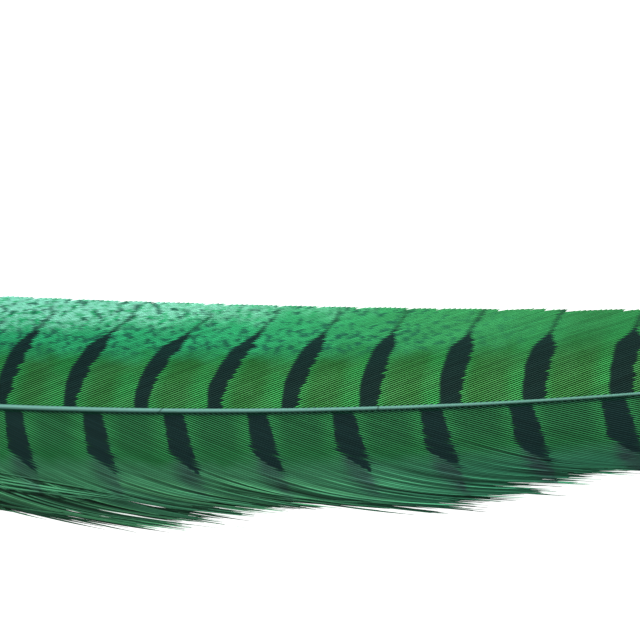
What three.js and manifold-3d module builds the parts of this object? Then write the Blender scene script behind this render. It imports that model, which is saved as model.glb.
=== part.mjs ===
// A barred pheasant tail feather, lying on its underside on a flat surface. Millimetres, +Z up.
// The shaft runs along X in a shallow bow, from the bare quill at -X to the vane's tip at +X.
// The outer vane lies on the +Y side and rolls down at its margin; the inner vane, on the -Y side, ends in a
// fringe of pointed locks. A feather grows as one piece, so shaft and vanes are fused in one solid.
import * as THREE from "three";
import { mergeVertices } from "three/addons/utils/BufferGeometryUtils.js";
import Module from "manifold-3d";

// Places along the feather, measured from its middle
const QUILL_END = -200;
const VANE_START = -172;
const SHAFT_TIP = 184;
const VANE_TIP = 202;
const CENTRE_Y = 3.8; // how far the bow carries the feather's middle to +Y

// Shaft
const BOW = 5.2e-4; // the shaft's sideways bow, y = BOW * x^2
const SHAFT_SIDES = 10;
const SHAFT_STATIONS = 44;
const SHAFT_TAPER_WIDTH = 1.3; // width that tapers evenly from the quill to the tip
const SHAFT_TIP_WIDTH = 0.28;
const QUILL_SWELL = 1.0; // what the quill adds to that width
const QUILL_SWELL_REACH = 45;
const QUILL_POINT_LENGTH = 7;
const QUILL_BLUNTNESS = 0.08;
const SHAFT_DEPTH = 1.15; // depth over width
const QUILL_DROOP = 0.49; // how far the bare quill bends down to the surface
const QUILL_DROOP_END = -165;

// Height of the shaft's centre line above the surface: an arch from the quill to the tip
const ARCH_MIDDLE = -6;
const ARCH_HALF_SPAN = 210;
const ARCH_RISE = 4.2;
const ARCH_FOOT = 0.8;

// The feather rests on its quill and, at this place along it, on one lock of each vane
const REST_PLACE = 84;
const MARGIN_RISE = 0.6; // how much higher the margins are this far from there
const MARGIN_RISE_REACH = 150;

// Outline of the vanes
const FOOT_ROUNDING = 14; // how quickly the vane widens from its foot
const FOOT_LEAD = 6; // how far before the first barbs that begins
const TAPER_START = -40;
const TAPER_POWER = 2;
const RIPPLE_LENGTH = 55; // the inner vane's fringe is longer here and shorter there
const RIPPLE_START = -18.75;

// Barbs: their angles to the shaft, in degrees, and the two vanes
const ROOT_ANGLE = 21.5;
const ROOT_ANGLE_SLOPE = -0.07; // per millimetre along the feather
const LEAST_ROOT_ANGLE = 9;
const CLOSING_LENGTH = 22; // over which the last barbs close on each other
const LEAST_CLOSING = 0.02;
const DOWN_SPREAD = 32; // what the downy foot adds
const DOWN_REACH = 14;
const BARB_STEPS = 24;
const LONGEST_BARB = 128;
const OUTER = {
  sign: 1,
  width: 20,
  tipAngle: 0.6,
  bend: [0, 1],
  roll: 3.0,
  ripple: 0,
  notch: [0.95, 0.99],
  shift: 1,
};
const INNER = {
  sign: -1,
  width: 20.8,
  tipAngle: 0.3,
  bend: [0.3, 0.85],
  roll: 1.8,
  ripple: 0.075,
  notch: [0.78, 0.9],
  shift: 0,
};

// Slab that stands for the vanes
const LOCKS = 34; // per side
const COLUMNS_PER_LOCK = 3;
const BARB_STOPS = [0, 0.2, 0.42, 0.62, 0.75]; // shares of a barb's length, before its lock opens
const LAST_STOP = 0.55; // share of what is left
const ROOT_SCATTER = 0.5; // share of a column's width
const TIP_SCATTER = 0.05; // shares of a barb's length
const TIP_SLANT = 0.02;
const VANE_THICKNESS = 0.5;
const MARGIN_THICKNESS = 0.4;
const VANE_DROP = 0.15; // the shaft stands above the vanes
const DOWN_THICKNESS = 1.3;
const LOCK_LIFT = 0.5; // how much lock tips differ in height
const LOCK_OPENS = 0.6; // share of a barb's length
const SMOOTHING = 0.02; // what may be smoothed away where shaft and vanes join

const radians = THREE.MathUtils.degToRad;
const clamp = THREE.MathUtils.clamp;

// A number from 0 to 1 that looks random and is the same in every run
function scatter(index, seed) {
  const wave = Math.sin(index * 12.9898 + seed * 78.233) * 43758.5453;
  return wave - Math.floor(wave);
}

function shaftWidth(x) {
  const share = clamp((SHAFT_TIP - x) / (SHAFT_TIP - QUILL_END), 0, 1);
  const swell = QUILL_SWELL * Math.exp(-(x - QUILL_END) / QUILL_SWELL_REACH);
  return SHAFT_TIP_WIDTH + SHAFT_TAPER_WIDTH * share + swell;
}

function crownHeight(x) {
  const p = (x - ARCH_MIDDLE) / ARCH_HALF_SPAN;
  return ARCH_FOOT + ARCH_RISE * Math.max(0, 1 - p * p);
}

// The point at distance v sideways from the shaft's line, seen from above
function onFeather(x, v) {
  const slope = 2 * BOW * x;
  const length = Math.hypot(1, slope);
  return [x - (v * slope) / length, BOW * x * x + v / length - CENTRE_Y];
}

// How far the outline lies from the shaft at x
function outline(side, x) {
  const foot = 1 - Math.exp(-Math.max(0, x - VANE_START + FOOT_LEAD) / FOOT_ROUNDING);
  const taper = Math.max(0, x - TAPER_START) / (VANE_TIP - TAPER_START);
  const ripple = 1 + side.ripple * Math.sin((2 * Math.PI * (x - RIPPLE_START)) / RIPPLE_LENGTH);
  return side.width * foot * Math.max(0, 1 - taper ** TAPER_POWER) * ripple;
}

function rootAngle(x) {
  const down = DOWN_SPREAD * Math.exp(-(x - VANE_START) / DOWN_REACH);
  const closing = Math.sqrt(clamp((SHAFT_TIP - x) / CLOSING_LENGTH, LEAST_CLOSING, 1));
  return Math.max(LEAST_ROOT_ANGLE, ROOT_ANGLE + ROOT_ANGLE_SLOPE * x) * closing + down;
}

// A barb seen from above: it leaves the shaft at its root angle and turns to its tip angle. Its tip is on the outline.
function barb(side, root) {
  const start = radians(rootAngle(root));
  const path = [new THREE.Vector2()];
  for (let i = 0; i < BARB_STEPS; i++) {
    const turned = THREE.MathUtils.smoothstep((i + 0.5) / BARB_STEPS, ...side.bend);
    const angle = start * (1 - (1 - side.tipAngle) * turned);
    path.push(new THREE.Vector2(Math.cos(angle), Math.sin(angle)).divideScalar(BARB_STEPS).add(path[i]));
  }
  const tip = path[BARB_STEPS];
  let length = 0;
  for (let step = LONGEST_BARB; step > 0.001; step /= 2) {
    const longer = length + step;
    if (outline(side, root + longer * tip.x) > longer * tip.y) length = longer;
  }
  return new THREE.SplineCurve(path.map((point) => point.clone().multiplyScalar(length)));
}

// The vane's middle surface: highest at the shaft, and down to the surface it lies on at the margin
function vaneHeight(side, x, v) {
  const reach = clamp(v / Math.max(outline(side, x), 1), 0, 1);
  const foot = MARGIN_THICKNESS / 2 + MARGIN_RISE * ((x - REST_PLACE) / MARGIN_RISE_REACH) ** 2;
  return foot + (crownHeight(x) - VANE_DROP - foot) * (1 - reach ** side.roll);
}

// A cylinder, tapered and bowed into quill and shaft
function shaftGeometry() {
  const tube = new THREE.CylinderGeometry(1, 1, 1, SHAFT_SIDES, SHAFT_STATIONS);
  const place = tube.getAttribute("position");
  for (let i = 0; i < place.count; i++) {
    const x = THREE.MathUtils.lerp(QUILL_END, SHAFT_TIP, place.getY(i) + 0.5);
    const point = Math.sqrt(clamp((x - QUILL_END) / QUILL_POINT_LENGTH, QUILL_BLUNTNESS, 1));
    const half = (shaftWidth(x) / 2) * point;
    const [px, py] = onFeather(x, place.getX(i) * half);
    const droop = QUILL_DROOP * clamp((QUILL_DROOP_END - x) / (QUILL_DROOP_END - QUILL_END), 0, 1);
    place.setXYZ(i, px, py, crownHeight(x) - droop - place.getZ(i) * half * SHAFT_DEPTH);
  }
  return tube;
}

// How much of its barbs' length each column of the slab has on one side: short where two locks part, long at tips
function columnLength(side, column) {
  const lock = Math.floor((column + side.shift) / COLUMNS_PER_LOCK);
  const place = (column + side.shift) % COLUMNS_PER_LOCK;
  const tip = 1 + TIP_SCATTER * (scatter(lock, side.sign) - 0.5);
  const notch = THREE.MathUtils.lerp(...side.notch, scatter(lock, 3 + side.sign));
  return [notch, tip - TIP_SLANT, tip][place];
}

// A box of many cells, each column of which is laid along one barb of the inner and one of the outer vane
function vanesGeometry() {
  const columns = LOCKS * COLUMNS_PER_LOCK;
  const stops = BARB_STOPS.length + 1;
  const slab = new THREE.BoxGeometry(1, 1, 1, columns, 2 * stops, 1);
  const place = slab.getAttribute("position");
  const roots = [];
  for (let c = 0; c <= columns; c++) {
    const share = (c + ROOT_SCATTER * (scatter(c, 7) - 0.5) * Math.min(1, c, columns - c)) / columns;
    roots.push(THREE.MathUtils.lerp(VANE_START, SHAFT_TIP - 1, share));
  }
  const barbs = new Map([OUTER, INNER].map((side) => [side, roots.map((root) => barb(side, root))]));
  for (let i = 0; i < place.count; i++) {
    const column = Math.round((place.getX(i) + 0.5) * columns);
    const row = Math.round(place.getY(i) * 2 * stops);
    const side = row < 0 ? INNER : OUTER;
    const step = Math.abs(row);
    const length = columnLength(side, column);
    const last = BARB_STOPS[BARB_STOPS.length - 1];
    const stop = [...BARB_STOPS, last + (length - last) * LAST_STOP, length][step];
    const onBarb = barbs.get(side)[column].getPoint(Math.min(stop, 1));
    if (stop > 1) onBarb.multiplyScalar(stop);
    const x = roots[column] + onBarb.x;
    const lock = Math.floor((column + side.shift) / COLUMNS_PER_LOCK);
    const lift = LOCK_LIFT * scatter(lock, 5 + side.sign) * Math.max(0, stop - LOCK_OPENS);
    const down = DOWN_THICKNESS * Math.exp(-(roots[column] - VANE_START) / DOWN_REACH);
    const thickness = THREE.MathUtils.lerp(VANE_THICKNESS, MARGIN_THICKNESS, Math.min(stop, 1)) + down;
    const middle = vaneHeight(side, x, onBarb.y) + lift + down / 2;
    const [px, py] = onFeather(x, side.sign * onBarb.y);
    place.setXYZ(i, px, py, middle + place.getZ(i) * thickness);
  }
  return slab;
}

const wasm = await Module();
wasm.setup();

function solid(geometry) {
  geometry.deleteAttribute("normal");
  geometry.deleteAttribute("uv");
  const merged = mergeVertices(geometry, 1e-4);
  return new wasm.Manifold(
    new wasm.Mesh({
      numProp: 3,
      vertProperties: merged.getAttribute("position").array,
      triVerts: new Uint32Array(merged.index.array),
    }),
  );
}

function geometryOf(fused) {
  const mesh = fused.getMesh();
  const geometry = new THREE.BufferGeometry()
    .setAttribute("position", new THREE.BufferAttribute(new Float32Array(mesh.vertProperties), 3))
    .setIndex(new THREE.BufferAttribute(new Uint32Array(mesh.triVerts), 1));
  geometry.computeVertexNormals();
  return geometry;
}

const dyedBarbs = new THREE.MeshStandardMaterial({ color: 0x2f7d45, roughness: 0.6, metalness: 0 });
const fused = solid(shaftGeometry()).add(solid(vanesGeometry())).simplify(SMOOTHING);
const feather = new THREE.Mesh(geometryOf(fused), dyedBarbs);
feather.name = "feather";

const group = new THREE.Group();
group.add(feather);
export default group;
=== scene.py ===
"""A green-dyed, black-barred pheasant tail feather, lying on a pale floor.

Every barb of both vanes is a closed ribbon of its own: rooted in the shaft, curved towards the tip, and as
wide as its neighbours leave room for, so that the vanes are closed near the shaft and part into locks at the
fringe. Places on the feather are given as along (the way along the shaft, from its middle) and across (the
distance from the shaft). Shapes take them in metres and finishes in millimetres.
"""

import math

import bpy
import numpy as np
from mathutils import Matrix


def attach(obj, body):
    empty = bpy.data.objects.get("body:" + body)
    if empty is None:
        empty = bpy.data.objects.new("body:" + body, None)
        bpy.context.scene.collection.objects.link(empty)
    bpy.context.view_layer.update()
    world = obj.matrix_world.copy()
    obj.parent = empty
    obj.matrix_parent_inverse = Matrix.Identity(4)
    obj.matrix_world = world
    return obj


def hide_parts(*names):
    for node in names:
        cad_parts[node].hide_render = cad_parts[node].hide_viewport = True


bl_info = {
    "name": "Pheasant tail feather",
    "version": (1, 0, 0),
    "blender": (4, 5, 0),
    "location": "3D View > Sidebar > Feather",
    "description": "Builds a barred tail feather out of single barbs",
    "category": "Add Mesh",
}

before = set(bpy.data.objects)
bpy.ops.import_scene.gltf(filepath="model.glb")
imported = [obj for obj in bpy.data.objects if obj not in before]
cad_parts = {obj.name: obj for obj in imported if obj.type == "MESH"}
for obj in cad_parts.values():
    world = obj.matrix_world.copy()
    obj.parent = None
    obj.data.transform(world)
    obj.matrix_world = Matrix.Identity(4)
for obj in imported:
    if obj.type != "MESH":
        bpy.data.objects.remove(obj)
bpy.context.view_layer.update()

MM = 0.001
UP = np.array([0, 0, 1.0])
GOLDEN = 0.618  # steps by this share of 1 spread evenly, whatever their number

# Steps along a barb
PATH_STEPS = 34
UNDER_STEPS = 14
STRAY_STEPS = 18
CROSSING_STEPS = 22
DOWN_STEPS = 10
CROWDING = 1.3  # power by which steps crowd at a barb's tip

# Locks
UNEVEN = 0.38  # how far their limits stray, in locks
LONGEST = 1.003  # longest barb, as a share of the full one
GATHERED_AT = 1.02  # share of a barb's length where its lock has drawn together
STRAYED_AT = 1.05  # share of a barb's length where it has strayed all the way

# How many barbs at the vane's foot and at its tip have no fine barbs by them
UNDER_SKIPS = (45, 3)
STRAY_SKIPS = (20, 12)

# Points round a barb: valley, shoulder, ridge, shoulder, valley, keel
BARB_RISE = np.array([0, 0.7, 1, 0.7, 0, -1.0])
BARB_SHARES = np.array([1.2, 1.2, 1.2, 1.2, 0.9, 0.9])  # their shares of the ring's length
SHOULDER_OUT, SHOULDER_UP = 0.42, 0.8  # shares of the half width and of the ridge's height

# Points round a fine barb: side, top, side, bottom
FINE_RISE = np.array([0.55, 0.9, 0.55, -1.0])
FINE_SHARES = np.ones(4)
FINE_DEPTH = 0.6  # a fine barb's depth over its width

# Bars: spacing in mm at the feather's middle, its growth per mm, and place of the first bar, in spacings
OUTER_BARS = (13.4, 0.036, 0.05)
INNER_BARS = (15.0, 0.026, 0.55)
BAR_EDGE = (-0.12, 0.16)  # distances from a bar's outline, in mm, between which its colour fades
BAR_COVER = 0.97  # how far a bar's colour hides the green
DOWN_ENDS = (-132, -160)  # places along the shaft, in mm, between which the vanes turn to down

# Looks of the barbs: the painted sheen added on their ridges, what their undersides turn to, and their gloss
OUTER_SHEEN = (0.065, 0.05, 0.038)
INNER_SHEEN = (0.036, 0.05, 0.034)
UNDERSIDE = (0.2, 0.32, 0.26)
BARB_GLOSS = {"roughness": 0.62, "specular_ior_level": 0.12}
PAPER = (0.82, 0.82, 0.82)
NICKS = ((-121, -0.3), (-9, 0.45), (30.2, 0.15), (96, -0.4))  # places along the shaft in mm, and slants


# ---- properties


def property_kind(make, scale=1, **settings):
    """A kind of property, which is stated by what it is for and its default."""

    def stated(description, default):
        return make(description=description, default=default * scale, **settings)

    return stated


number = property_kind(bpy.props.FloatProperty, precision=5)
count = property_kind(bpy.props.IntProperty, min=1)
share = property_kind(bpy.props.FloatProperty, min=0, max=1, subtype="FACTOR")
length = property_kind(bpy.props.FloatProperty, MM, unit="LENGTH", precision=6)
angle = property_kind(bpy.props.FloatProperty, math.radians(1), subtype="ANGLE")
lens_length = property_kind(bpy.props.FloatProperty, unit="CAMERA")
power = property_kind(bpy.props.FloatProperty, unit="POWER")


def linear(level):
    """An 8-bit screen level as the linear value that shaders use."""
    part = level / 255
    return part / 12.92 if part <= 0.04045 else ((part + 0.055) / 1.055) ** 2.4


def paint(description, *levels):
    """A colour, given in 8-bit screen levels of red, green and blue."""
    default = [linear(level) for level in levels]
    return bpy.props.FloatVectorProperty(
        description=description, default=default, size=3, min=0, soft_max=1, subtype="COLOR"
    )


def named(group):
    """Names each of a group's properties after its identifier."""
    for key, field in group.__annotations__.items():
        field.keywords["name"] = key.replace("_", " ").capitalize()
    return group


@named
class FeatherShape(bpy.types.PropertyGroup):
    """The feather's length, bow, arch and outline, the same as in the solid frame."""

    quill_end: length("Where the bare quill ends", -200)
    vane_start: length("Where the lowest barbs are rooted", -172)
    shaft_tip: length("Where the shaft ends", 184)
    vane_tip: length("Where the outline comes to its point", 202)
    centre: length("How far the bow carries the feather's middle sideways", 3.8)
    bow: number("Sideways bow of the shaft, per metre", 0.52)
    arch_middle: length("Where the shaft stands highest", -6)
    arch_half_span: length("From there to where the arch would meet the floor", 210)
    arch_rise: length("How much higher the shaft's middle is than its ends", 4.2)
    arch_foot: length("Height of the shaft's centre line at its ends", 0.8)
    foot_rounding: length("How quickly the vane widens from its foot", 14)
    taper_start: length("Where the vane starts to narrow towards the tip", -40)
    taper_power: number("How late the vane narrows", 2)
    foot_lead: length("How far before the lowest barbs the vane starts to widen", 6)
    ripple_length: length("Distance between two places where the fringe is longer", 55)
    ripple_start: length("Place from which the ripple counts", -18.75)
    vane_drop: length("How far the vanes lie below the shaft's centre line", 0.15)
    margin_height: length("Height of the barbs at the margins, where they lie lowest", 0.2)
    rest_place: length("Place along the feather where that is", 84)
    margin_rise: length("How much higher the margins are at a set distance from there", 0.6)
    rise_reach: length("That distance", 150)
    droop: length("How far the bare quill bends down to the floor", 0.49)
    droop_end: length("Where it starts to bend down", -165)


@named
class ShaftShape(bpy.types.PropertyGroup):
    """The quill and shaft."""

    tip_width: length("Width of the shaft at its tip", 0.28)
    taper_width: length("Width that tapers evenly from the quill to the tip", 1.3)
    swell: length("What the quill adds to that width", 1.0)
    swell_reach: length("How far the quill's extra width carries", 45)
    point_length: length("Length of the quill's rounded end", 7)
    depth: number("Depth of the shaft over its width", 1.15)
    sides: count("Points round the shaft", 28)
    stations: count("Rings along the shaft", 220)


@named
class BarbShape(bpy.types.PropertyGroup):
    """What the barbs of both vanes share."""

    pitch: length("Distance between neighbouring barbs at the shaft, across their run", 0.353)
    widest_spacing: length("Largest distance between roots along the shaft", 1.3)
    root_angle: angle("Angle between a barb and the shaft at the feather's middle", 21.5)
    root_angle_slope: number("Degrees by which it changes per millimetre", -0.07)
    least_root_angle: angle("Smallest root angle towards the tip", 9)
    closing_length: length("Over which the last barbs close on each other", 22)
    down_spread: angle("What the downy foot adds to the root angle", 32)
    down_reach: length("How far up the vane the down spreads", 14)
    down_fineness: share("How far the barbs of the downy foot narrow", 0.38)
    ridge: length("How high a barb's ridge stands over its neighbours' joints", 0.07)
    keel: length("Depth of a barb's shaft below the vane", 0.14)
    point_width: length("Half width of a loose barb near its tip", 0.03)


# Both vanes have the same properties: name, kind, description, and defaults of the outer and inner vane.
VANE_PROPERTIES = (
    ("direction", number, "Side of the shaft that the vane lies on", 1, -1),
    ("width", length, "How far the vane reaches from the shaft at its widest", 20, 20.8),
    ("tip_angle", share, "Angle to the shaft at a barb's tip, as a share of that at its root", 0.6, 0.3),
    ("bend_from", share, "Share of a barb's length where it starts to turn to its tip angle", 0, 0.3),
    ("bend_to", share, "Share of a barb's length where it has turned", 1, 0.85),
    ("roll", number, "How late the vane rolls down towards its margin", 3.0, 1.8),
    ("ripple", share, "How much the vane's reach goes up and down", 0, 0.075),
    ("locks", count, "Number of locks in the vane", 46, 70),
    ("opens_at", share, "Share of a barb's length where the first locks draw together", 0.88, 0.46),
    ("opens_by", share, "Share of a barb's length over which the others follow", 0.08, 0.36),
    ("gathered", share, "How far a lock's barbs have drawn together at their tips", 0, 0.5),
    ("least_length", share, "Shortest barb, as a share of the full one", 1.0, 0.8),
    ("lock_spread", share, "How much locks differ in length, as a share", 0.004, 0.13),
    ("loose_from", share, "Share of a barb's length where it starts to narrow", 0.97, 0.7),
    ("frayed_from", share, "Share of a barb's length where it parts from its own lock", 0.985, 0.94),
    ("stray", length, "How far locks stray sideways", 0.03, 0.65),
    ("wander", length, "How far single barbs stray sideways", 0.03, 0.07),
    ("lift", length, "How much lock tips differ in height", 0.06, 0.2),
    # split sets how dark the painted shade is along the lines between locks
    ("split", share, "How dark the lines are between locks", 0.1, 1.0),
    ("torn", share, "How far a few locks have parted at the margin", 0.14, 0),
    ("strand", count, "Barbs that stick together in one strand", 3, 2),
    ("strand_stray", length, "How far strands stray sideways", 0, 0.2),
    ("flattened", share, "How much lower the ridges are towards the margin", 0.8, 0),
    ("closes", length, "Widest gap to the next barb that half a barb's width bridges", 0.78, 0.42),
    ("seed", count, "Seed of the vane's random numbers", 11, 23),
)


def vane_properties(column):
    """The properties of one vane, with its own defaults."""
    return {key: stated(words, defaults[column]) for key, stated, words, *defaults in VANE_PROPERTIES}


@named
class OuterVane(bpy.types.PropertyGroup):
    """The firm vane on the outside of the bow."""

    __annotations__ = vane_properties(0)


@named
class InnerVane(bpy.types.PropertyGroup):
    """The softer vane on the inside of the bow, which ends in a fringe."""

    __annotations__ = vane_properties(1)


@named
class LooseShape(bpy.types.PropertyGroup):
    """Fine barbs that lie under the fringe, stand out of it or cross it."""

    under_every: number("Fine barbs under the fringe, per barb of the vane", 2.4)
    under_from: share("Share of a barb's length where they come out from below", 0.46)
    under_depth: length("How far below the fringe they lie", 0.12)
    under_width: length("Their half width", 0.14)
    strays: count("Barbs that stand out beyond the fringe", 40)
    stray_width: length("Their half width", 0.028)
    crossing_along: length("Where the crossing lock leaves the fringe", -58)
    crossing_across: length("How far from the shaft that is", 9.8)
    crossing_length: length("Length of the crossing lock", 46)
    crossing_drop: length("How much closer to the margin it ends", 6.4)
    crossing_spread: length("Half its width where it starts", 2.3)
    crossing_barbs: count("Barbs in the crossing lock", 13)
    crossing_width: length("Their half width", 0.2)
    seed: count("Seed of these barbs' random numbers", 37)


@named
class DownShape(bpy.types.PropertyGroup):
    """The soft down at the foot of the vanes."""

    strands: count("Number of strands", 2000)
    reach: length("How far up the shaft the down grows", 32)
    longest: share("Length of the longest strand, as a share of the vane's reach", 0.55)
    shortest: share("Length of the shortest strand, as a share of the vane's reach", 0.3)
    thickness: length("Thickness of a strand at its root", 0.18)
    least_angle: angle("Smallest angle between a strand and the shaft", 46)
    largest_angle: angle("Largest angle between a strand and the shaft", 84)
    curl: length("How far strands curl", 1.2)
    wave: length("How far strands wave", 0.5)
    seed: count("Seed of the down's random numbers", 5)


@named
class FeatherColours(bpy.types.PropertyGroup):
    """The dye's colours."""

    green: paint("Outer vane between the bars", 52, 126, 66)
    fresh: paint("Outer vane next to the bars", 38, 143, 69)
    olive: paint("Middle of the space between two bars", 37, 114, 51)
    margin: paint("Upper margin of the outer vane", 53, 190, 124)
    far_margin: paint("Its colour towards the feather's tip", 62, 167, 99)
    # Partly the margin's own paler colour, partly a painted sheen on the rolled barbs
    pale: paint("Rolled margin where the barbs are pale", 158, 248, 212)
    speck: paint("Specks in the pale margin", 30, 100, 82)
    inner: paint("Inner vane between the bars", 22, 94, 52)
    inner_fresh: paint("Inner vane next to the bars", 32, 117, 62)
    soft: paint("Inner vane towards its fringe", 67, 139, 98)
    fringe: paint("Loose tips of the inner vane", 58, 122, 90)
    wisp: paint("The palest strands of the fringe", 82, 157, 108)
    far_fringe: paint("Loose part of the inner vane towards the feather's tip", 40, 117, 90)
    bar: paint("The dark bars", 19, 47, 50)
    smoke: paint("The grey haze that a bar trails towards the fringe", 54, 78, 80)
    down: paint("The down at the foot of the vanes", 80, 134, 100)
    shaft: paint("The shaft's crown", 122, 186, 172)
    # Painted shade on the shaft's inner flank and on the barb roots beside it; the nicks take this colour
    # too
    flank_shade_and_nicks: paint("The shaft's inner flank", 0, 62, 44)
    quill: paint("The bare quill", 168, 205, 186)


@named
class StageLook(bpy.types.PropertyGroup):
    """Floor, lights and camera."""

    camera_along: length("Place of the camera along the feather", 19.8)
    camera_across: length("Place of the camera sideways of the shaft", 16.4)
    view_width: length("Width of what the camera sees", 115.2)
    lens: lens_length("Focal length", 200)
    sensor: lens_length("Width of the camera's sensor", 36)
    floor: length("Side of the floor", 12000)
    top_light: power("Power of the light above", 4.6)
    side_light: power("Power of the light at the side", 4.2)
    glow: number("Strength of the floor's own light", 0.8)
    sky: number("Strength of the pale surroundings", 0.14)


# ---- shape


def smooth(low, high, value):
    """0 at low and 1 at high, either way round, with a smooth step between them."""
    part = np.clip((value - low) / (high - low), 0, 1)
    return part * part * (3 - 2 * part)


def crown_height(shape, along):
    """Height of the shaft's centre line."""
    place = (along - shape.arch_middle) / shape.arch_half_span
    return shape.arch_foot + shape.arch_rise * np.maximum(0, 1 - place**2)


def on_feather(shape, along, across, height):
    """Points in the row frame, from places on the feather."""
    slope = 2 * shape.bow * along
    stretch = np.hypot(1, slope)
    x = along - across * slope / stretch
    y = shape.bow * along**2 + across / stretch - shape.centre
    return np.stack([x, y, height], axis=-1)


def outline(shape, vane, along):
    """How far a vane reaches from the shaft."""
    foot = 1 - np.exp(-np.maximum(0, along - shape.vane_start + shape.foot_lead) / shape.foot_rounding)
    taper = np.maximum(0, along - shape.taper_start) / (shape.vane_tip - shape.taper_start)
    ripple = 1 + vane.ripple * np.sin(2 * math.pi * (along - shape.ripple_start) / shape.ripple_length)
    return vane.width * foot * np.maximum(0, 1 - taper**shape.taper_power) * ripple


def root_angle(shape, barb, along):
    """Angle between a barb and the shaft where it is rooted."""
    down = barb.down_spread * np.exp(-(along - shape.vane_start) / barb.down_reach)
    closing = np.sqrt(np.clip((shape.shaft_tip - along) / barb.closing_length, 0.02, 1))
    plain = barb.root_angle + np.radians(barb.root_angle_slope) * along / MM
    return np.maximum(barb.least_root_angle, plain) * closing + down


def vane_height(shape, vane, along, across):
    """Height of a vane's middle surface: highest at the shaft, down to the floor at the margin."""
    reach = np.clip(across / np.maximum(outline(shape, vane, along), 1 * MM), 0, 1)
    crown = crown_height(shape, along) - shape.vane_drop
    foot = shape.margin_height + shape.margin_rise * ((along - shape.rest_place) / shape.rise_reach) ** 2
    return foot + (crown - foot) * (1 - reach**vane.roll)


def barb_roots(shape, barb):
    """Where the barbs of one vane are rooted, from the foot to the tip."""
    roots = [shape.vane_start]
    while roots[-1] < shape.shaft_tip - barb.widest_spacing:
        spacing = barb.pitch / math.sin(root_angle(shape, barb, roots[-1]))
        roots.append(roots[-1] + min(spacing, barb.widest_spacing))
    return np.array(roots)


def summed(heading, step):
    """The way that a barb of length 1 has gone at each step."""
    middle = (heading[:, 1:] + heading[:, :-1]) / 2 * np.diff(step, axis=1)
    return np.concatenate([0 * heading[:, :1], np.cumsum(middle, axis=1)], axis=1)


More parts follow.
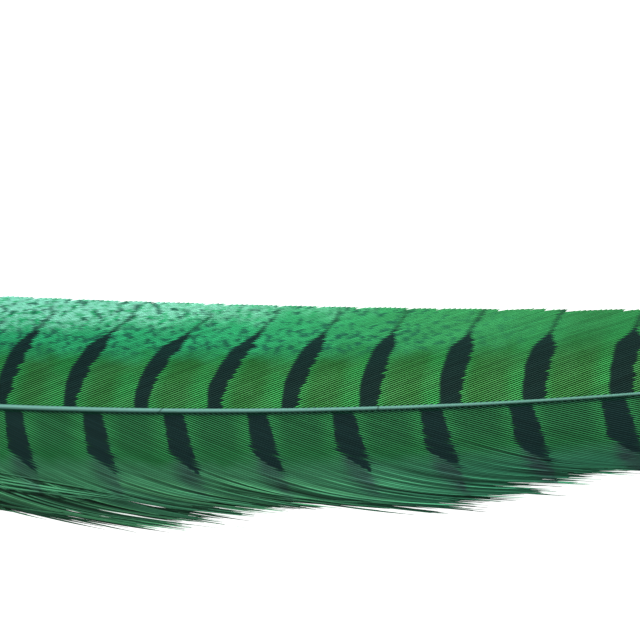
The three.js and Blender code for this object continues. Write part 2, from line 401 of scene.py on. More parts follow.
class Barbs:
    """The paths of one vane's barbs, as arrays of barb by step along the barb."""

    def __init__(self, shape, barb, vane):
        self.shape, self.barb, self.vane = shape, barb, vane
        draw = np.random.default_rng(vane.seed)
        self.roots = barb_roots(shape, barb)
        self.count = len(self.roots)
        self.lay_locks(draw)
        self.seeds = draw.random(self.count)
        self.strand = np.cumsum(draw.random(self.count) * vane.strand < 1)
        golden = np.arange(self.count + 1) * GOLDEN
        self.strands = ((golden + 0.3 * draw.random(self.count + 1)) % 1)[self.strand]
        self.lengths = self.barb_lengths(draw)
        steps = 1 - (1 - np.linspace(0, 1, PATH_STEPS)) ** CROWDING
        self.reach = steps[None, :] * self.lengths[:, None]
        self.lay_paths()
        self.draw_together(draw)

    def lay_locks(self, draw):
        """Shares the barbs out over locks of uneven size."""
        cuts = np.linspace(0, self.count, self.vane.locks + 1)
        cuts[1:-1] += draw.uniform(-UNEVEN, UNEVEN, self.vane.locks - 1) * self.count / self.vane.locks
        cuts = np.round(cuts).astype(int)
        index = np.arange(self.count)
        self.lock = np.clip(np.searchsorted(cuts, index, side="right") - 1, 0, self.vane.locks - 1)
        first, last = cuts[self.lock], cuts[self.lock + 1] - 1
        self.lock_middle = (first + last) / 2
        self.lock_place = (index - self.lock_middle) / np.maximum((last - first) / 2, 1)

    def barb_lengths(self, draw):
        """Long in the middle of a lock and short where two locks part."""
        vane = self.vane
        lock_length = 1 + vane.lock_spread * (draw.random(vane.locks)[self.lock] - 0.8)
        point = 1 - np.abs(self.lock_place) ** 1.6
        size = 0.85 * point + 0.15 * draw.random(self.count)
        return lock_length * (vane.least_length + (LONGEST - vane.least_length) * size)

    def lay_paths(self):
        """Lays each barb as a curve that turns from root angle to tip angle and ends on the outline."""
        shape, vane = self.shape, self.vane
        start = root_angle(shape, self.barb, self.roots)[:, None]
        step = np.linspace(0, 1, 4 * PATH_STEPS)[None, :]
        turning = start * (1 - (1 - vane.tip_angle) * smooth(vane.bend_from, vane.bend_to, step))
        forward = summed(np.cos(turning), step)
        sideways = summed(np.sin(turning), step)
        run = np.zeros(self.count)
        further, finest = 128 * MM, 0.001 * MM
        while further > finest:
            longer = run + further
            inside = outline(shape, vane, self.roots + longer * forward[:, -1]) > longer * sideways[:, -1]
            run = np.where(inside, longer, run)
            further /= 2
        place = np.minimum(self.reach, 1)
        beyond = np.maximum(self.reach - 1, 0)
        curves = (turning, forward, sideways)
        angles, ahead, aside = (
            np.array([np.interp(place[i], step[0], curve[i]) for i in range(self.count)]) for curve in curves
        )
        self.along = self.roots[:, None] + run[:, None] * (ahead + beyond * np.cos(angles))
        self.across = run[:, None] * (aside + beyond * np.sin(angles))
        self.sideways = np.array([-np.sin(angles), np.cos(angles)])

    def draw_together(self, draw):
        """Pulls the barbs of a lock towards its middle, and lets some stray."""
        vane = self.vane

        def of_lock(numbers):
            return numbers[self.lock][:, None]

        self.bare = self.along, self.across
        low = np.floor(self.lock_middle).astype(int)
        high = np.minimum(low + 1, self.count - 1)
        part = (self.lock_middle - low)[:, None]
        to_along = self.along[low] * (1 - part) + self.along[high] * part - self.along
        to_across = self.across[low] * (1 - part) + self.across[high] * part - self.across
        gap = to_along * self.sideways[0] + to_across * self.sideways[1]
        torn = of_lock(draw.random(vane.locks) > 0.8) * vane.torn
        opens = of_lock(vane.opens_at + vane.opens_by * draw.random(vane.locks)) - torn
        gathered = vane.gathered * of_lock(draw.uniform(0.5, 1.3, vane.locks)) + torn
        together = gathered * smooth(opens, GATHERED_AT, self.reach)
        lock_stray = vane.stray * of_lock(draw.normal(0, 1, vane.locks))
        barb_stray = vane.wander * draw.normal(0, 1, self.count) * (0.6 + 2 * draw.random(self.count) ** 8)
        barb_stray += vane.strand_stray * draw.normal(0, 1, self.count + 1)[self.strand]
        stray = lock_stray * smooth(opens - 0.1, STRAYED_AT, self.reach) ** 1.3
        stray = stray + barb_stray[:, None] * smooth(opens, STRAYED_AT, self.reach) ** 1.5
        move = gap * together + stray
        self.along = self.along + move * self.sideways[0]
        self.across = np.maximum(self.across + move * self.sideways[1], 0)
        lift = of_lock(draw.random(vane.locks)) + (0.35 * self.strands + 0.1 * self.seeds)[:, None]
        self.lift = vane.lift * lift * smooth(vane.opens_at - 0.05, 1, self.reach)
        # Painted shade on the last barb of each lock, along the line where the locks part, and a painted
        # highlight on the first barb of the next lock
        edge = (smooth(0.78, 1, self.lock_place) - 0.35 * smooth(-0.7, -1, self.lock_place))[:, None]
        depth = vane.split * (0.15 + 0.85 * of_lock(draw.random(vane.locks)) ** 1.5)
        depth = depth * (0.3 + 1.1 * self.strands[:, None])
        self.shade = edge * depth * smooth(opens - 0.3, opens - 0.02, self.reach)

    def points(self):
        """The barbs' middle lines in the row frame."""
        height = vane_height(self.shape, self.vane, self.along, self.across) + self.lift
        return on_feather(self.shape, self.along, self.vane.direction * self.across, height)


def towards(points, step):
    """From each barb to the point halfway to its neighbour."""
    neighbour = np.roll(points, -step, axis=0)
    level = np.array([1, 1, 0])
    if step > 0:
        neighbour[-1] = points[-1] + (points[-1] - points[-2]) * level
    else:
        neighbour[0] = points[0] + (points[0] - points[1]) * level
    return (neighbour - points) / 2


def narrowed(offset, heading, widest):
    """The offset, cut so that its part across the barb is at most widest."""
    along = np.sum(offset * heading, axis=-1, keepdims=True)
    across = np.linalg.norm(offset - along * heading, axis=-1, keepdims=True)
    return offset * np.minimum(1, widest[..., None] / np.maximum(across, 1e-7))


def headings(paths):
    """Unit vectors along each path."""
    heading = np.gradient(paths, axis=1)
    return heading / np.linalg.norm(heading, axis=-1, keepdims=True)


def barb_rings(barbs):
    """Points round each step of each barb: barb by step by point by coordinate."""
    points = barbs.points()
    heading = headings(points)
    barb, vane = barbs.barb, barbs.vane
    gone = barbs.reach / barbs.lengths[:, None]
    downy = np.exp(-(barbs.roots - barbs.shape.vane_start) / (barb.down_reach * 1.6))[:, None]
    downy = np.minimum(1, 1.6 * downy) * smooth(0.04, 0.3, gone) * barb.down_fineness
    parted = barbs.lock[1:] != barbs.lock[:-1]
    before = np.concatenate([[True], parted])[:, None]
    after = np.concatenate([parted, [True]])[:, None]
    fine, closed = barb.point_width, vane.closes
    ends = 1 - 0.9 * smooth(vane.frayed_from - 0.01, 1, gone)
    at_side = closed * (fine / closed) ** np.maximum(smooth(vane.loose_from, 1, gone), downy) * ends
    inside = closed * (fine / closed) ** np.maximum(smooth(vane.frayed_from, 1, gone), downy) * ends
    left = narrowed(towards(points, -1), heading, np.where(before, at_side, inside))
    right = narrowed(towards(points, 1), heading, np.where(after, at_side, inside))
    widest = np.maximum(inside, at_side)
    size = np.minimum(1, widest / (0.5 * barb.pitch))
    lower = 1 - vane.flattened * smooth(0.4, 0.75, gone)
    ridge = (barb.ridge * (0.35 + 0.65 * size) * lower)[..., None] * UP
    keel = np.minimum(barb.keel * (0.3 + 0.7 * size) * (1 - 0.6 * gone), points[..., 2] * 0.8)
    keel = keel[..., None] * UP
    rings = [
        points + left,
        points + SHOULDER_OUT * left + SHOULDER_UP * ridge,
        points + ridge,
        points + SHOULDER_OUT * right + SHOULDER_UP * ridge,
        points + right,
        points - keel,
    ]
    if vane.direction < 0:
        rings = [rings[i] for i in (4, 3, 2, 1, 0, 5)]
    return np.stack(rings, axis=2)


def tube_rings(paths, widths, heights, sides):
    """Oval rings round each step of each path: path by step by point by coordinate."""
    heading = headings(paths)
    beside = np.cross(heading, UP)
    beside /= np.maximum(np.linalg.norm(beside, axis=-1, keepdims=True), 1e-6)
    above = np.cross(beside, heading)
    turn = np.linspace(0, 2 * math.pi, sides, endpoint=False)
    round_x = (widths[..., None] * np.cos(turn))[..., None] * beside[:, :, None, :]
    round_y = (heights[..., None] * np.sin(turn))[..., None] * above[:, :, None, :]
    return paths[:, :, None, :] + round_x + round_y


# ---- mesh


def tube_faces(tubes, rings, sides):
    """Quads round tubes of equal make, with both ends closed."""
    tube = np.arange(tubes)[:, None, None] * rings * sides
    ring = np.arange(rings - 1)[None, :, None] * sides
    side = np.arange(sides)[None, None, :]
    beside = (side + 1) % sides
    a, b = tube + ring + side, tube + ring + beside
    walls = np.stack([a, a + sides, b + sides, b], axis=-1).reshape(-1, 4)
    half = sides // 2
    corners = np.array([[i, i + 1, sides - 2 - i, sides - 1 - i] for i in range(half - 1)])
    start = (tube + corners).reshape(-1, 4)
    end = (tube + (rings - 1) * sides + corners[:, ::-1]).reshape(-1, 4)
    return np.concatenate([walls, start, end])


def tube_sheet(tubes, rings, shares, columns):
    """Places on a flat sheet for the quads' corners: every tube is laid open in a cell of its own."""
    tube = np.arange(tubes)
    rows = math.ceil(tubes / columns)
    cell = np.array([1 / columns, 1 / rows])
    corner = np.stack([tube % columns, tube // columns], axis=-1)[:, None, None] * cell
    over = np.linspace(0.02, 0.9, rings)
    round_it = 0.04 + 0.92 * np.concatenate([[0], np.cumsum(shares)]) / np.sum(shares)
    square = np.array([[0, 0], [1, 0], [1, 1], [0, 1]])
    ring, side = np.meshgrid(np.arange(rings - 1), np.arange(len(shares)), indexing="ij")
    ring, side = ring.reshape(-1, 1) + square[:, 0], side.reshape(-1, 1) + square[:, 1]
    caps = len(shares) // 2 - 1
    cap = np.arange(caps)[:, None]
    high = (cap + 0.1 + 0.8 * square[:, 1]) / caps
    parts = [
        np.stack([over[ring], round_it[side]], axis=-1),
        np.stack([0.915 + 0.03 * square[:, 0] + 0 * high, high], axis=-1),
        np.stack([0.955 + 0.03 * square[:, 0] + 0 * high, high], axis=-1),
    ]
    return np.concatenate([(corner + part * cell).reshape(-1, 4, 2) for part in parts])


def mesh_object(name, points, faces, values, sheet=None):
    """A smooth-shaded mesh of quads, with numbers kept at its points and its corners laid on a sheet."""
    places = points.shape[:-1]
    mesh = bpy.data.meshes.new(name)
    mesh.vertices.add(math.prod(places))
    mesh.vertices.foreach_set("co", points.astype(np.float32).ravel())
    mesh.loops.add(faces.size)
    mesh.loops.foreach_set("vertex_index", faces.astype(np.int32).ravel())
    mesh.polygons.add(len(faces))
    mesh.polygons.foreach_set("loop_start", np.arange(0, faces.size, 4, dtype=np.int32))
    mesh.polygons.foreach_set("use_smooth", np.ones(len(faces), bool))
    mesh.update(calc_edges=True)
    if sheet is not None:
        mesh.uv_layers.new(name="OFBake").uv.foreach_set("vector", sheet.astype(np.float32).ravel())
    mesh.validate()
    for key, numbers in values.items():
        attribute = mesh.attributes.new(key, "FLOAT", "POINT")
        attribute.data.foreach_set("value", np.broadcast_to(numbers, places).astype(np.float32).ravel())
    made = bpy.data.objects.new(name, mesh)
    bpy.context.scene.collection.objects.link(made)
    return made


def add_piece(name, rings, values, shares, columns, material):
    """Makes a piece that rides on the frame, out of tubes: tube by ring by point by coordinate."""
    tubes, steps, sides = rings.shape[:3]
    faces = tube_faces(tubes, steps, sides)
    made = mesh_object(name, rings, faces, values, tube_sheet(tubes, steps, shares, columns))
    made.data.materials.append(material)
    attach(made, "root")
    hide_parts("feather")


# ---- shader maths


class Wire:
    """An output socket, with Python's operators for Math nodes."""

    def __init__(self, finish, socket):
        self.finish, self.socket = finish, socket

    def math(self, operation, *others):
        """What a Math node makes of this and the others."""
        values = dict(enumerate((self, *others)))
        return self.finish.node("ShaderNodeMath", {"operation": operation}, values)

    def __add__(self, other):
        return self.math("ADD", other)

    __radd__ = __add__

    def __sub__(self, other):
        return self.math("SUBTRACT", other)

    def __rsub__(self, other):
        return self * -1 + other

    def __mul__(self, other):
        return self.math("MULTIPLY", other)

    __rmul__ = __mul__

    def __truediv__(self, other):
        return self.math("DIVIDE", other)

    def smooth(self, low, high):
        """0 at low and 1 at high, either way round, with a smooth step between them."""
        values = {"Value": self, "From Min": low, "From Max": high}
        return self.finish.node("ShaderNodeMapRange", {"interpolation_type": "SMOOTHSTEP"}, values)

    def ramp(self, low, high):
        """0 at low and 1 at high, with a straight ramp between them."""
        return self.finish.node("ShaderNodeMapRange", {}, {"Value": self, "From Min": low, "From Max": high})


class Finish:
    """A material whose nodes are added by expressions."""

    def __init__(self, name):
        self.material = bpy.data.materials.new(name)
        self.material.use_nodes = True
        self.tree = self.material.node_tree
        self.surface = self.tree.nodes["Principled BSDF"]

    def connect(self, value, socket):
        """Links a wire to a socket, or sets the socket to a number or colour."""
        if isinstance(value, Wire):
            self.tree.links.new(value.socket, socket)
        elif socket.type == "RGBA":
            socket.default_value = (*value, 1)
        else:
            socket.default_value = value

    def node(self, kind, settings, sockets, output=0):
        """Adds a node: its settings first, then the values or links of its sockets."""
        made = self.tree.nodes.new(kind)
        for key, value in settings.items():
            setattr(made, key, value)
        for key, value in sockets.items():
            self.connect(value, made.inputs[key])
        return Wire(self, made.outputs[output])

    def set(self, **values):
        """Sets the surface's sockets, whose names are given with underscores for spaces."""
        for key, value in values.items():
            self.connect(value, self.surface.inputs[key.replace("_", " ").title().replace("Ior", "IOR")])

    def number(self, name):
        """A number kept at the mesh's points."""
        return self.node("ShaderNodeAttribute", {"attribute_name": name}, {}, "Fac")

    def mix(self, factor, first, second):
        """One colour turning into another."""
        return self.node("ShaderNodeMix", {"data_type": "RGBA"}, {0: factor, 6: first, 7: second}, 2)

    def layered(self, colour, *layers):
        """A colour with others laid over it, each given with how much of it shows."""
        for factor, other in layers:
            colour = self.mix(factor, colour, other)
        return colour

    def scaled(self, colour, factor):
        """A colour made lighter or darker."""
        return self.node("ShaderNodeVectorMath", {"operation": "SCALE"}, {0: colour, "Scale": factor})

    def tinted(self, colour, tint):
        """A colour multiplied by another."""
        return self.node("ShaderNodeVectorMath", {"operation": "MULTIPLY"}, {0: colour, 1: tint})

    def noise(self, x, y, z=0, scale=1, detail=2, roughness=0.5):
        """Soft noise from 0 to 1 at a place."""
        place = self.node("ShaderNodeCombineXYZ", {}, {0: x, 1: y, 2: z})
        values = {"Vector": place, "Scale": scale, "Detail": detail, "Roughness": roughness}
        return self.node("ShaderNodeTexNoise", {}, values)

    def bars(self, along, spacing, growth, first):
        """Distance in mm from the middle of the nearest bar."""
        counted = (along * (growth / spacing) + 1).math("LOGARITHM", math.e) / growth - first
        from_bar = (counted + 0.5).math("FRACT") - 0.5
        return from_bar * (along * growth + spacing)


# ---- finishes


def barb_numbers(finish):
    """Numbers that the barbs keep: places in mm, and shares from 0 to 1."""
    return [finish.number(name) for name in ("along", "across", "root", "rise", "chance", "shade")]


def paint_ridge_light(finish, colour, rise, strength, sheen):
    """Paints light on the barbs' ridges and painted shade in the valleys between them, and adds a painted
    sheen on the ridges. The barbs are duller underneath.
    """
    under = rise.smooth(-0.1, -0.5)
    colour = finish.mix(under * 0.4, colour, UNDERSIDE)
    ridge = rise.smooth(0.4, 1)
    lit = finish.scaled(colour, (ridge * 3.0 + 0.04) * strength + (1 - strength))
    lit = finish.mix(under, lit, colour)
    glint = finish.scaled(sheen, ridge * strength)
    return finish.node("ShaderNodeVectorMath", {"operation": "ADD"}, {0: lit, 1: glint})


def outer_finish(colours):
    """Green with lance-shaped bars that lean to the tip, and a pale, specked margin near the base."""
    finish = Finish("outer vane barbs")
    along, across, root, rise, chance, shade = barb_numbers(finish)
    cloud = finish.noise(along * 0.16, across * 0.2, detail=3)
    step = finish.noise(root * 0.6, across * 0.1, detail=1)
    wobble = finish.noise(along * 0.2, across * 0.35, 5)
    # Bars: how far a place is from a bar's middle line, and how wide the bar is there
    lean = along.math("ABSOLUTE").smooth(42, 0) * 0.018 + 0.0255
    leant = across.math("MINIMUM", 17)
    from_bar = finish.bars(along - leant * leant * lean, *OUTER_BARS) + (wobble - 0.5) * 0.9
    jag = (chance - 0.5) * 0.35 + (step - 0.5) * 1.8
    widest = along * 0.0085 + 1.75
    least = along.ramp(-40, 60) * 0.3 + 0.6
    blade = (least + (1 - least) * across.smooth(0, 6.5)) * widest
    blade = blade * (1 - (across + along.smooth(15, 75) * 2.2).smooth(11, 15))
    edge = (from_bar + jag * from_bar.smooth(-0.2, 0.5)).math("ABSOLUTE")
    fleck = finish.noise(
        along * 0.82 + across * 0.57, across * 1.3 - along * 0.9, scale=0.85, detail=3, roughness=0.65
    )
    tail = edge.smooth(0.75, 0.15) * across.smooth(11, 13) * (1 - across.smooth(16, 19.5))
    bar = (1 - (edge - blade).smooth(*BAR_EDGE)).math("MAXIMUM", tail * (0.95 - fleck * 0.5))

    # The margin's pale patches, partly its own paler colour and partly a painted sheen where the rolled
    # barbs face the light, and dark specks
    upper = (across + (cloud - 0.5) * 5).smooth(8.0, 12.5) * (1 - along.smooth(45, 80) * 0.5)
    margin = finish.mix(along.smooth(-5, 50), colours.margin, colours.far_margin)
    pale_zone = (across + along * -0.05 + (cloud - 0.5) * 6).smooth(14.2, 18.6) * along.smooth(48, -12)
    paler = fleck + across.smooth(16, 20) * 0.05
    speckle = finish.noise(along * 0.6 + across * 0.4, across - along * 0.45, 23, roughness=0.6)
    speckle = speckle - across.smooth(16, 13) * 0.035
    speck_zone = across.smooth(9.0, 11.5) * along.smooth(75, 25)
    coloured = finish.layered(
        colours.fresh,
        ((from_bar + 1.2).math("ABSOLUTE").smooth(2.2, 5.4), colours.olive),
        (cloud.smooth(0.4, 0.7) * 0.6, colours.green),
        (upper, margin),
        (pale_zone * paler.smooth(0.4, 0.55), colours.pale),
        (speck_zone * speckle.smooth(0.48, 0.37) * 0.85, colours.speck),
        (bar * BAR_COVER, colours.bar),
        (along.smooth(*DOWN_ENDS), colours.down),
    )

    # Painted light on the barbs' ridges and painted shade in their valleys, which grow stronger towards the
    # feather's tip
    nearer = along.smooth(-50, 45)
    strength = across.smooth(12.5, 3) * (1 - bar * 0.8) * (nearer * 0.3 + 0.7)
    shaded = paint_ridge_light(finish, coloured, rise, strength, OUTER_SHEEN)
    shaded = finish.tinted(shaded, finish.mix(nearer, (0.78, 0.9, 0.92), (1, 1.05, 1)))
    streak = finish.noise(root * 1.3, across * 0.9, 11)
    # The barbs' own tones, which vary at random, in streaks and towards the tip, with the painted shade and
    # highlight where locks part
    tone_and_painted_light = (chance - 0.5) * 0.25 + 1 - shade * 0.4 + (streak - 0.5) * across.smooth(8, 13) * 0.5
    tone_and_painted_light = tone_and_painted_light - along.smooth(45, 90) * 0.13
    finish.set(base_color=finish.scaled(shaded, tone_and_painted_light), **BARB_GLOSS)
    return finish.material


def inner_finish(colours):
    """Darker green, with square bars cut to a point at their foot, a smoky trail and a dull fringe."""
    finish = Finish("inner vane barbs")
    along, across, root, rise, chance, shade = barb_numbers(finish)
    cloud = finish.noise(along * 0.16, across * 0.2, 7, detail=3)
    step = finish.noise(root * 0.5, across * 0.1, 7, detail=1)
    wobble = finish.noise(along * 0.2, across * 0.35, 9)

    # Bars, between a near edge that is cut off at a slant and a straight far edge
    jag = (chance - 0.5) * 0.35 + (step - 0.5) * 0.8
    from_bar = finish.bars(along, *INNER_BARS) + (wobble - 0.5) * 0.8
    half = along * 0.0062 + 1.73
    far_edge = half + across * 0.28
    near_edge = across * 0.12 - half
    near_edge = near_edge + (far_edge - near_edge) * (across + jag * 0.5).ramp(7.5, 11.8)
    left_of_far = far_edge - from_bar - jag * 0.5
    bar = (from_bar + jag * 0.35 - near_edge).smooth(*BAR_EDGE) * left_of_far.smooth(*BAR_EDGE)
    bar = bar * (1 - across.smooth(11.4, 12.4))
    below = across - from_bar * 0.8 - 8.0
    smoke = below.smooth(-0.4, 0.3) * (1 - below.smooth(1.8, 5.2)) * from_bar.smooth(-1.2, 1.6)
    smoke = smoke * left_of_far.smooth(-0.2, 0.4) * (cloud * 1.4 + 0.2)

    # The fringe, strand by strand
    # Strand tones: partly the strands' own, partly painted light on raised strands and painted shade in the
    # gaps between them
    streak = finish.noise(root * 0.6, across * 0.05, 3, roughness=0.6) * 0.3 + finish.number("strand") * 0.7
    loose = (across + (cloud - 0.5) * 3).smooth(10.5, 15.5)
    beside = (from_bar - across * 0.12).math("ABSOLUTE").smooth(2.2, 5.5)
    coloured = finish.layered(
        colours.inner_fresh,
        (beside * (1 - across.smooth(5, 9) * 0.6), colours.inner),
        ((across + (cloud - 0.5) * 5).smooth(7.5, 12.0), colours.soft),
        (across.smooth(13.0, 16.5), colours.fringe),
        (streak.smooth(0.5, 0.85) * loose * 0.6, colours.wisp),
        (across.smooth(7, 12) * along.smooth(0, 60) * 0.65, colours.far_fringe),
        (smoke * (along.smooth(-20, 45) * 0.3 + 0.6), colours.smoke),
        (bar * BAR_COVER, colours.bar),
        (along.smooth(*DOWN_ENDS), colours.down),
        # Painted shadow of the shaft on the roots of the barbs beside its inner flank
        (across.smooth(1.0, 0.6) * 0.85, colours.flank_shade_and_nicks),
    )

    # Painted light and shade on the barbs, duller and more uneven towards the fringe
    strength = (1 - across.smooth(4, 12) * 0.8) * (1 - bar * 0.8) * 0.9
    shaded = paint_ridge_light(finish, coloured, rise, strength, INNER_SHEEN)
    # The barbs' own tones, which vary at random, with the painted shade and highlight where locks part
    tone_and_painted_light = (chance - 0.5) * (loose * 0.5 + 0.25) + 1 - shade * 0.75
    # Strand by strand the fringe turns lighter and darker: partly the strands' own tones, partly painted
    # light and shade
    tone_and_painted_light = tone_and_painted_light * (loose * (streak.smooth(0.25, 0.75) * 1.5 - 0.65) + 1)
    tress = finish.noise(root * 0.4, across * 0.08, 19, detail=3, roughness=0.7)
    tone_and_painted_light = tone_and_painted_light * (across.smooth(9, 14) * (tress.smooth(0.32, 0.66) * 1.1 - 0.65) + 1)
    tone_and_painted_light = tone_and_painted_light * (1 - across.smooth(15, 17) * along.smooth(0, -20) * 0.4)
    finish.set(base_color=finish.scaled(shaded, tone_and_painted_light), **BARB_GLOSS)
    return finish.material


def shaft_finish(colours):
    """Dyed horn: pale along the crown, with painted shade on the inner flank, fine streaks and a few nicks.
    """
    finish = Finish("dyed shaft")
    along, rise, flank = finish.number("along"), finish.number("rise"), finish.number("flank")
    streak = finish.noise(along * 0.06, flank * 3, rise * 3, scale=2, detail=4, roughness=0.6)
    # Painted shade: the inner flank, turned away from the light, darkens from the horn's colour
    lit = (flank + (streak - 0.5) * 0.35).smooth(-0.85, 0.5)
    horn = finish.mix(along.smooth(-165, -192), colours.shaft, colours.quill)
    dark = finish.mix(along.smooth(-150, -185), colours.flank_shade_and_nicks, finish.scaled(horn, 0.6))
    coloured = finish.mix(lit, dark, horn)
    coloured = finish.scaled(coloured, streak * 0.4 + 0.8)
    coloured = finish.tinted(coloured, finish.mix(along.smooth(20, 60), (1, 1, 1), (0.84, 0.9, 0.84)))
    for place, slant in NICKS:
        nick = (along - place - flank * slant).math("ABSOLUTE").smooth(0.32, 0.08)
        coloured = finish.mix(nick * 0.6, coloured, colours.flank_shade_and_nicks)
    finish.set(base_color=coloured, roughness=0.4, specular_ior_level=0.25)
    return finish.material


def down_finish(colours):
    """Pale, matt down."""
    finish = Finish("dyed down")
    chance, reach = finish.number("chance"), finish.number("reach")
    coloured = finish.scaled(colours.down, chance * 0.6 + 0.8 + reach * 0.3)
    finish.set(base_color=coloured, roughness=0.8)
    return finish.material


# ---- pieces


def barb_values(along, across, roots, rise, chance, shade, strand):
    """Numbers for a finish of the vanes, which fit barb by step by point."""
    return {
        "along": along[:, :, None] / MM,
        "across": across[:, :, None] / MM,
        "root": roots[:, None, None] / MM,
        "rise": rise,
        "chance": chance[:, None, None],
        "shade": shade[:, :, None],
        "strand": strand[:, None, None],
    }


class AddShaft(bpy.types.Operator):
    """Builds the quill and shaft as one tapered, bowed tube"""

    bl_idname = "feather.add_shaft"
    bl_label = "Shaft"

    def execute(self, context):
        shape, shaft = context.scene.feather_shape, context.scene.feather_shaft
        along = np.linspace(shape.quill_end, shape.shaft_tip, shaft.stations)[:, None]
        turn = np.linspace(0, -2 * math.pi, shaft.sides, endpoint=False)[None, :]
        left = (shape.shaft_tip - along) / (shape.shaft_tip - shape.quill_end)
        swell = shaft.swell * np.exp(-(along - shape.quill_end) / shaft.swell_reach)
        width = shaft.tip_width + shaft.taper_width * left + swell
        point = np.sqrt(np.clip((along - shape.quill_end) / shaft.point_length, 0.08, 1))
        half = width / 2 * point
        droop = shape.droop * np.clip((shape.droop_end - along) / (shape.droop_end - shape.quill_end), 0, 1)
        height = np.maximum(crown_height(shape, along) - droop + half * shaft.depth * np.sin(turn), 0)
        rings = on_feather(shape, along + 0 * turn, half * np.cos(turn), height)[None]
        values = {"along": along / MM, "rise": np.sin(turn), "flank": np.cos(turn)}
        material = shaft_finish(context.scene.feather_colours)
        add_piece("shaft", rings, values, np.ones(shaft.sides), 1, material)
        return {"FINISHED"}


class AddVanes(bpy.types.Operator):
    """Builds both vanes, barb by barb, in five stretches each"""

    bl_idname = "feather.add_vanes"
    bl_label = "Vanes"

    def execute(self, context):
        scene = context.scene
        self.add(scene, scene.feather_outer, "outer_vane", outer_finish(scene.feather_colours))
        self.add(scene, scene.feather_inner, "inner_vane", inner_finish(scene.feather_colours))
        return {"FINISHED"}

    def add(self, scene, vane, name, material):
        """One vane."""
        barbs = Barbs(scene.feather_shape, scene.feather_barb, vane)
        rings = barb_rings(barbs)
        names = ("foot", "lower", "middle", "upper", "tip")
        numbers = (barbs.along, barbs.across, barbs.roots, barbs.seeds, barbs.shade, barbs.strands)
        for stretch, chosen in zip(names, np.array_split(np.arange(barbs.count), len(names)), strict=True):
            along, across, roots, *others = (number[chosen] for number in numbers)
            values = barb_values(along, across, roots, BARB_RISE, *others)
            add_piece(f"{name}_{stretch}", rings[chosen], values, BARB_SHARES, 2, material)


def add_tubes(name, places, heights, widths, depth, values, material, shape):
    """Builds fine barbs, laid along places on the feather, as one object."""
    paths = on_feather(shape, *places, heights)
    rings = tube_rings(paths, widths, widths * depth, len(FINE_SHARES))
    columns = math.ceil(math.sqrt(len(paths)) / 2)
    add_piece(name, rings, values, FINE_SHARES, columns, material)


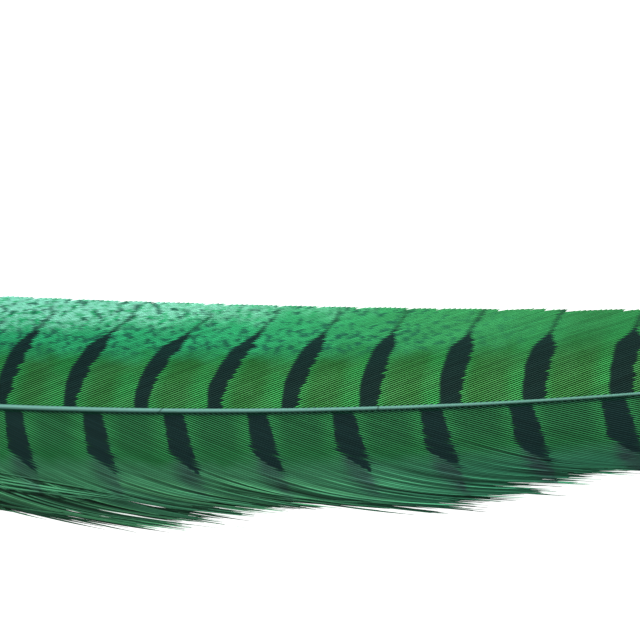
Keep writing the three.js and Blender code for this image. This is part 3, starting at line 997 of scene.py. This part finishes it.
class AddLooseBarbs(bpy.types.Operator):
    """Adds the fine barbs that lie under the fringe, stand out of it or cross it"""

    bl_idname = "feather.add_loose_barbs"
    bl_label = "Loose barbs"

    def execute(self, context):
        scene = context.scene
        shape, vane, loose = scene.feather_shape, scene.feather_inner, scene.feather_loose
        draw = np.random.default_rng(loose.seed)
        barbs = Barbs(shape, scene.feather_barb, vane)
        material = inner_finish(scene.feather_colours)
        makers = {"fringe_under": self.under, "fringe_strays": self.strays, "crossing_lock": self.crossing}
        for name, make in makers.items():
            along, across, lift, widths, *others = make(barbs, draw, loose)
            heights = np.maximum(vane_height(shape, vane, along, across) + lift, 1.2 * widths + 0.02 * MM)
            values = barb_values(along, across, along[:, 0], FINE_RISE, *others)
            add_tubes(name, (along, -across), heights, widths, FINE_DEPTH, values, material, shape)
        return {"FINISHED"}

    def spread(self, barbs, places, which, shares):
        """Places on the chosen barbs, at shares of their full length that can lie beyond 1."""
        steps = barbs.reach[which]
        beyond = np.maximum(shares - steps[:, -1:], 0)
        gone = steps[:, -1] - steps[:, -4]
        for on_barbs in places:
            place = on_barbs[which]
            spread = np.array([np.interp(*row) for row in zip(shares, steps, place, strict=True)])
            yield spread + beyond * ((place[:, -1] - place[:, -4]) / gone)[:, None]

    def under(self, barbs, draw, loose):
        """Barbs below the fringe, which close the gaps between its locks, most of them darkened with painted
        shade.
        """
        total = int(barbs.count * loose.under_every)
        step = np.linspace(0, 1, UNDER_STEPS)[None, :]
        which = np.sort(draw.integers(UNDER_SKIPS[0], barbs.count - UNDER_SKIPS[1], total))
        end = draw.uniform(0.8, 0.97, (total, 1))
        shares = loose.under_from + (end - loose.under_from) * step
        along, across = self.spread(barbs, barbs.bare, which, shares)
        shift = draw.normal(0, 0.45, (total, 1)) * MM * smooth(0.45, 1.0, shares)
        widths = loose.under_width * (1 - 0.8 * smooth(0.75, 1, step)) * np.ones((total, 1))
        chance, shade = draw.random(total), 1.05 * draw.random((total, 1)) - 0.25 + 0 * shares
        lift = -loose.under_depth * (1 + draw.random((total, 1)))
        return along, np.maximum(across + shift, 0), lift, widths, chance, shade, chance * 7 % 1

    def strays(self, barbs, draw, loose):
        """Single thin barbs that reach beyond the fringe."""
        total = loose.strays
        step = np.linspace(0, 1, STRAY_STEPS)[None, :]
        which = np.sort(draw.integers(STRAY_SKIPS[0], barbs.count - STRAY_SKIPS[1], total))
        shares = 0.7 + (draw.uniform(1.02, 1.26, (total, 1)) - 0.7) * step
        along, across = self.spread(barbs, (barbs.along, barbs.across), which, shares)
        away = (0.2 + 2.6 * draw.random((total, 1)) ** 2) * MM
        across = across + away * smooth(0.8, 1.25, shares)
        widths = loose.stray_width * (1 - 0.6 * step) * np.ones((total, 1))
        lift = 0.3 * MM * draw.random((total, 1))
        chance = draw.random(total)
        return along, across, lift, widths, chance, 0 * shares, chance * 7 % 1

    def crossing(self, barbs, draw, loose):
        """One lock that has come loose and lies across its neighbours, every other barb of it in shade."""
        total = loose.crossing_barbs
        step = np.linspace(0, 1, CROSSING_STEPS)[None, :]
        place = np.linspace(-1, 1, total)[:, None]
        reach = loose.crossing_length * draw.uniform(0.75, 1, (total, 1))
        along = loose.crossing_along + reach * step + 0.4 * MM * place
        drop = loose.crossing_drop * step**0.9 + draw.normal(0, 0.2, (total, 1)) * MM * step
        across = loose.crossing_across + drop + place * loose.crossing_spread * (1 - 0.8 * step**1.2)
        dark = (np.arange(total) % 2)[:, None]
        widths = loose.crossing_width * (1 - 0.8 * smooth(0.6, 1, step))
        widths = widths * (0.7 + 0.3 * draw.random((total, 1)))
        lift = MM * (0.7 + 0.35 * np.sin(math.pi * np.minimum(step + 0.12, 1)) - 0.15 * dark)
        chance, shade = draw.random(total), 0.8 * dark + 0.05 + 0 * along
        return along, across, lift, widths, chance, shade, 0.66 - 0.5 * dark[:, 0]


class AddDown(bpy.types.Operator):
    """Adds the soft down at the foot of the vanes"""

    bl_idname = "feather.add_down"
    bl_label = "Down"

    def execute(self, context):
        scene = context.scene
        shape, down = scene.feather_shape, scene.feather_down
        draw = np.random.default_rng(down.seed)
        total = down.strands
        step = np.linspace(0, 1, DOWN_STEPS)[None, :]
        side = np.where(np.arange(total) % 2, 1, -1)[:, None]
        root = shape.vane_start + down.reach * draw.random((total, 1)) ** 1.2
        size = draw.uniform(down.shortest, down.longest, (total, 1))
        inner_end = (1.12 - size) * draw.random((total, 1)) ** 0.8
        reach = outline(shape, scene.feather_outer, root + 5 * MM)
        angle = draw.uniform(down.least_angle, down.largest_angle, (total, 1))
        curl = down.curl * draw.normal(0, 1, (total, 1)) * step**2
        wave = down.wave * np.sin(step * draw.uniform(7, 12, (total, 1)) + 6 * draw.random((total, 1)))
        across = reach * (inner_end + size * step) + (curl + wave) * step
        along = root + reach * (inner_end + size * step) / np.tan(angle) - (curl + wave) * step
        arch = draw.uniform(-0.6, 1.6, (total, 1)) * MM * np.sin(math.pi * step**0.8)
        heights = vane_height(shape, scene.feather_outer, along, across) + arch
        heights = np.maximum(heights, 2 * down.thickness)
        widths = down.thickness / 2 * (1 - 0.75 * step) * (0.5 + 0.5 * draw.random((total, 1)))
        values = {"chance": draw.random((total, 1, 1)), "reach": step[:, :, None]}
        material = down_finish(scene.feather_colours)
        places = (along, side * np.abs(across))
        add_tubes("down", places, heights, widths, 1, values, material, shape)
        return {"FINISHED"}


class AddStage(bpy.types.Operator):
    """Adds the pale floor, the soft lights and the camera"""

    bl_idname = "feather.add_stage"
    bl_label = "Stage"

    def execute(self, context):
        scene = context.scene
        look, shape = scene.feather_stage, scene.feather_shape
        half = look.floor / 2
        corners = np.array([[-half, -half, 0], [half, -half, 0], [half, half, 0], [-half, half, 0]])
        floor = mesh_object("floor", corners, np.array([[0, 1, 2, 3]]), {})
        paper = Finish("white paper")
        paper.set(base_color=PAPER, roughness=0.9, emission_color=(1, 1, 1), emission_strength=look.glow)
        floor.data.materials.append(paper.material)
        self.add_light("top light", place=(0.05, 0.0, 0.9), power=look.top_light, size=0.9)
        self.add_light("side light", place=(0.1, 0.8, 0.45), power=look.side_light, size=0.6)
        world = bpy.data.worlds.new("pale room")
        scene.world = world
        world.use_nodes = True
        background = world.node_tree.nodes["Background"].inputs
        background["Color"].default_value = (1, 1, 1, 1)
        background["Strength"].default_value = look.sky
        lens = bpy.data.cameras.new("camera")
        lens.lens, lens.sensor_width = look.lens, look.sensor
        camera = bpy.data.objects.new("camera", lens)
        scene.collection.objects.link(camera)
        distance = look.view_width * look.lens / look.sensor
        height = crown_height(shape, look.camera_along)
        camera.location = (look.camera_along, look.camera_across - shape.centre, height + distance)
        lens.clip_end = 100  # metres
        scene.camera = camera
        scene.view_settings.view_transform = "Standard"
        return {"FINISHED"}

    def add_light(self, name, place, power, size):
        """A square soft light that shines on the feather's middle."""
        lamp = bpy.data.lights.new(name, "AREA")
        lamp.energy, lamp.size = power, size
        made = bpy.data.objects.new(name, lamp)
        made.location = place
        aim = -made.location
        made.rotation_euler = aim.to_track_quat("-Z", "Y").to_euler()
        bpy.context.scene.collection.objects.link(made)


class FeatherPanel(bpy.types.Panel):
    """Lists the feather's pieces and what can be changed"""

    bl_idname = "VIEW3D_PT_feather"
    bl_label = "Feather"
    bl_space_type = "VIEW_3D"
    bl_region_type = "UI"
    bl_category = "Feather"

    def draw(self, context):
        for operator in OPERATORS:
            self.layout.operator(operator.bl_idname)
        for key in GROUPS:
            group = getattr(context.scene, key)
            box = self.layout.box()
            for name in type(group).__annotations__:
                box.prop(group, name)


OPERATORS = (AddShaft, AddVanes, AddLooseBarbs, AddDown, AddStage)
GROUPS = {
    "feather_shape": FeatherShape,
    "feather_shaft": ShaftShape,
    "feather_barb": BarbShape,
    "feather_outer": OuterVane,
    "feather_inner": InnerVane,
    "feather_loose": LooseShape,
    "feather_down": DownShape,
    "feather_colours": FeatherColours,
    "feather_stage": StageLook,
}


def register():
    for kind in (*GROUPS.values(), *OPERATORS, FeatherPanel):
        bpy.utils.register_class(kind)
    for key, kind in GROUPS.items():
        setattr(bpy.types.Scene, key, bpy.props.PointerProperty(type=kind))


def unregister():
    for key in GROUPS:
        delattr(bpy.types.Scene, key)
    for kind in reversed((*GROUPS.values(), *OPERATORS, FeatherPanel)):
        bpy.utils.unregister_class(kind)


def main():
    register()
    bpy.ops.feather.add_shaft()
    bpy.ops.feather.add_vanes()
    bpy.ops.feather.add_loose_barbs()
    bpy.ops.feather.add_down()
    bpy.ops.feather.add_stage()


if __name__ == "__main__":
    main()
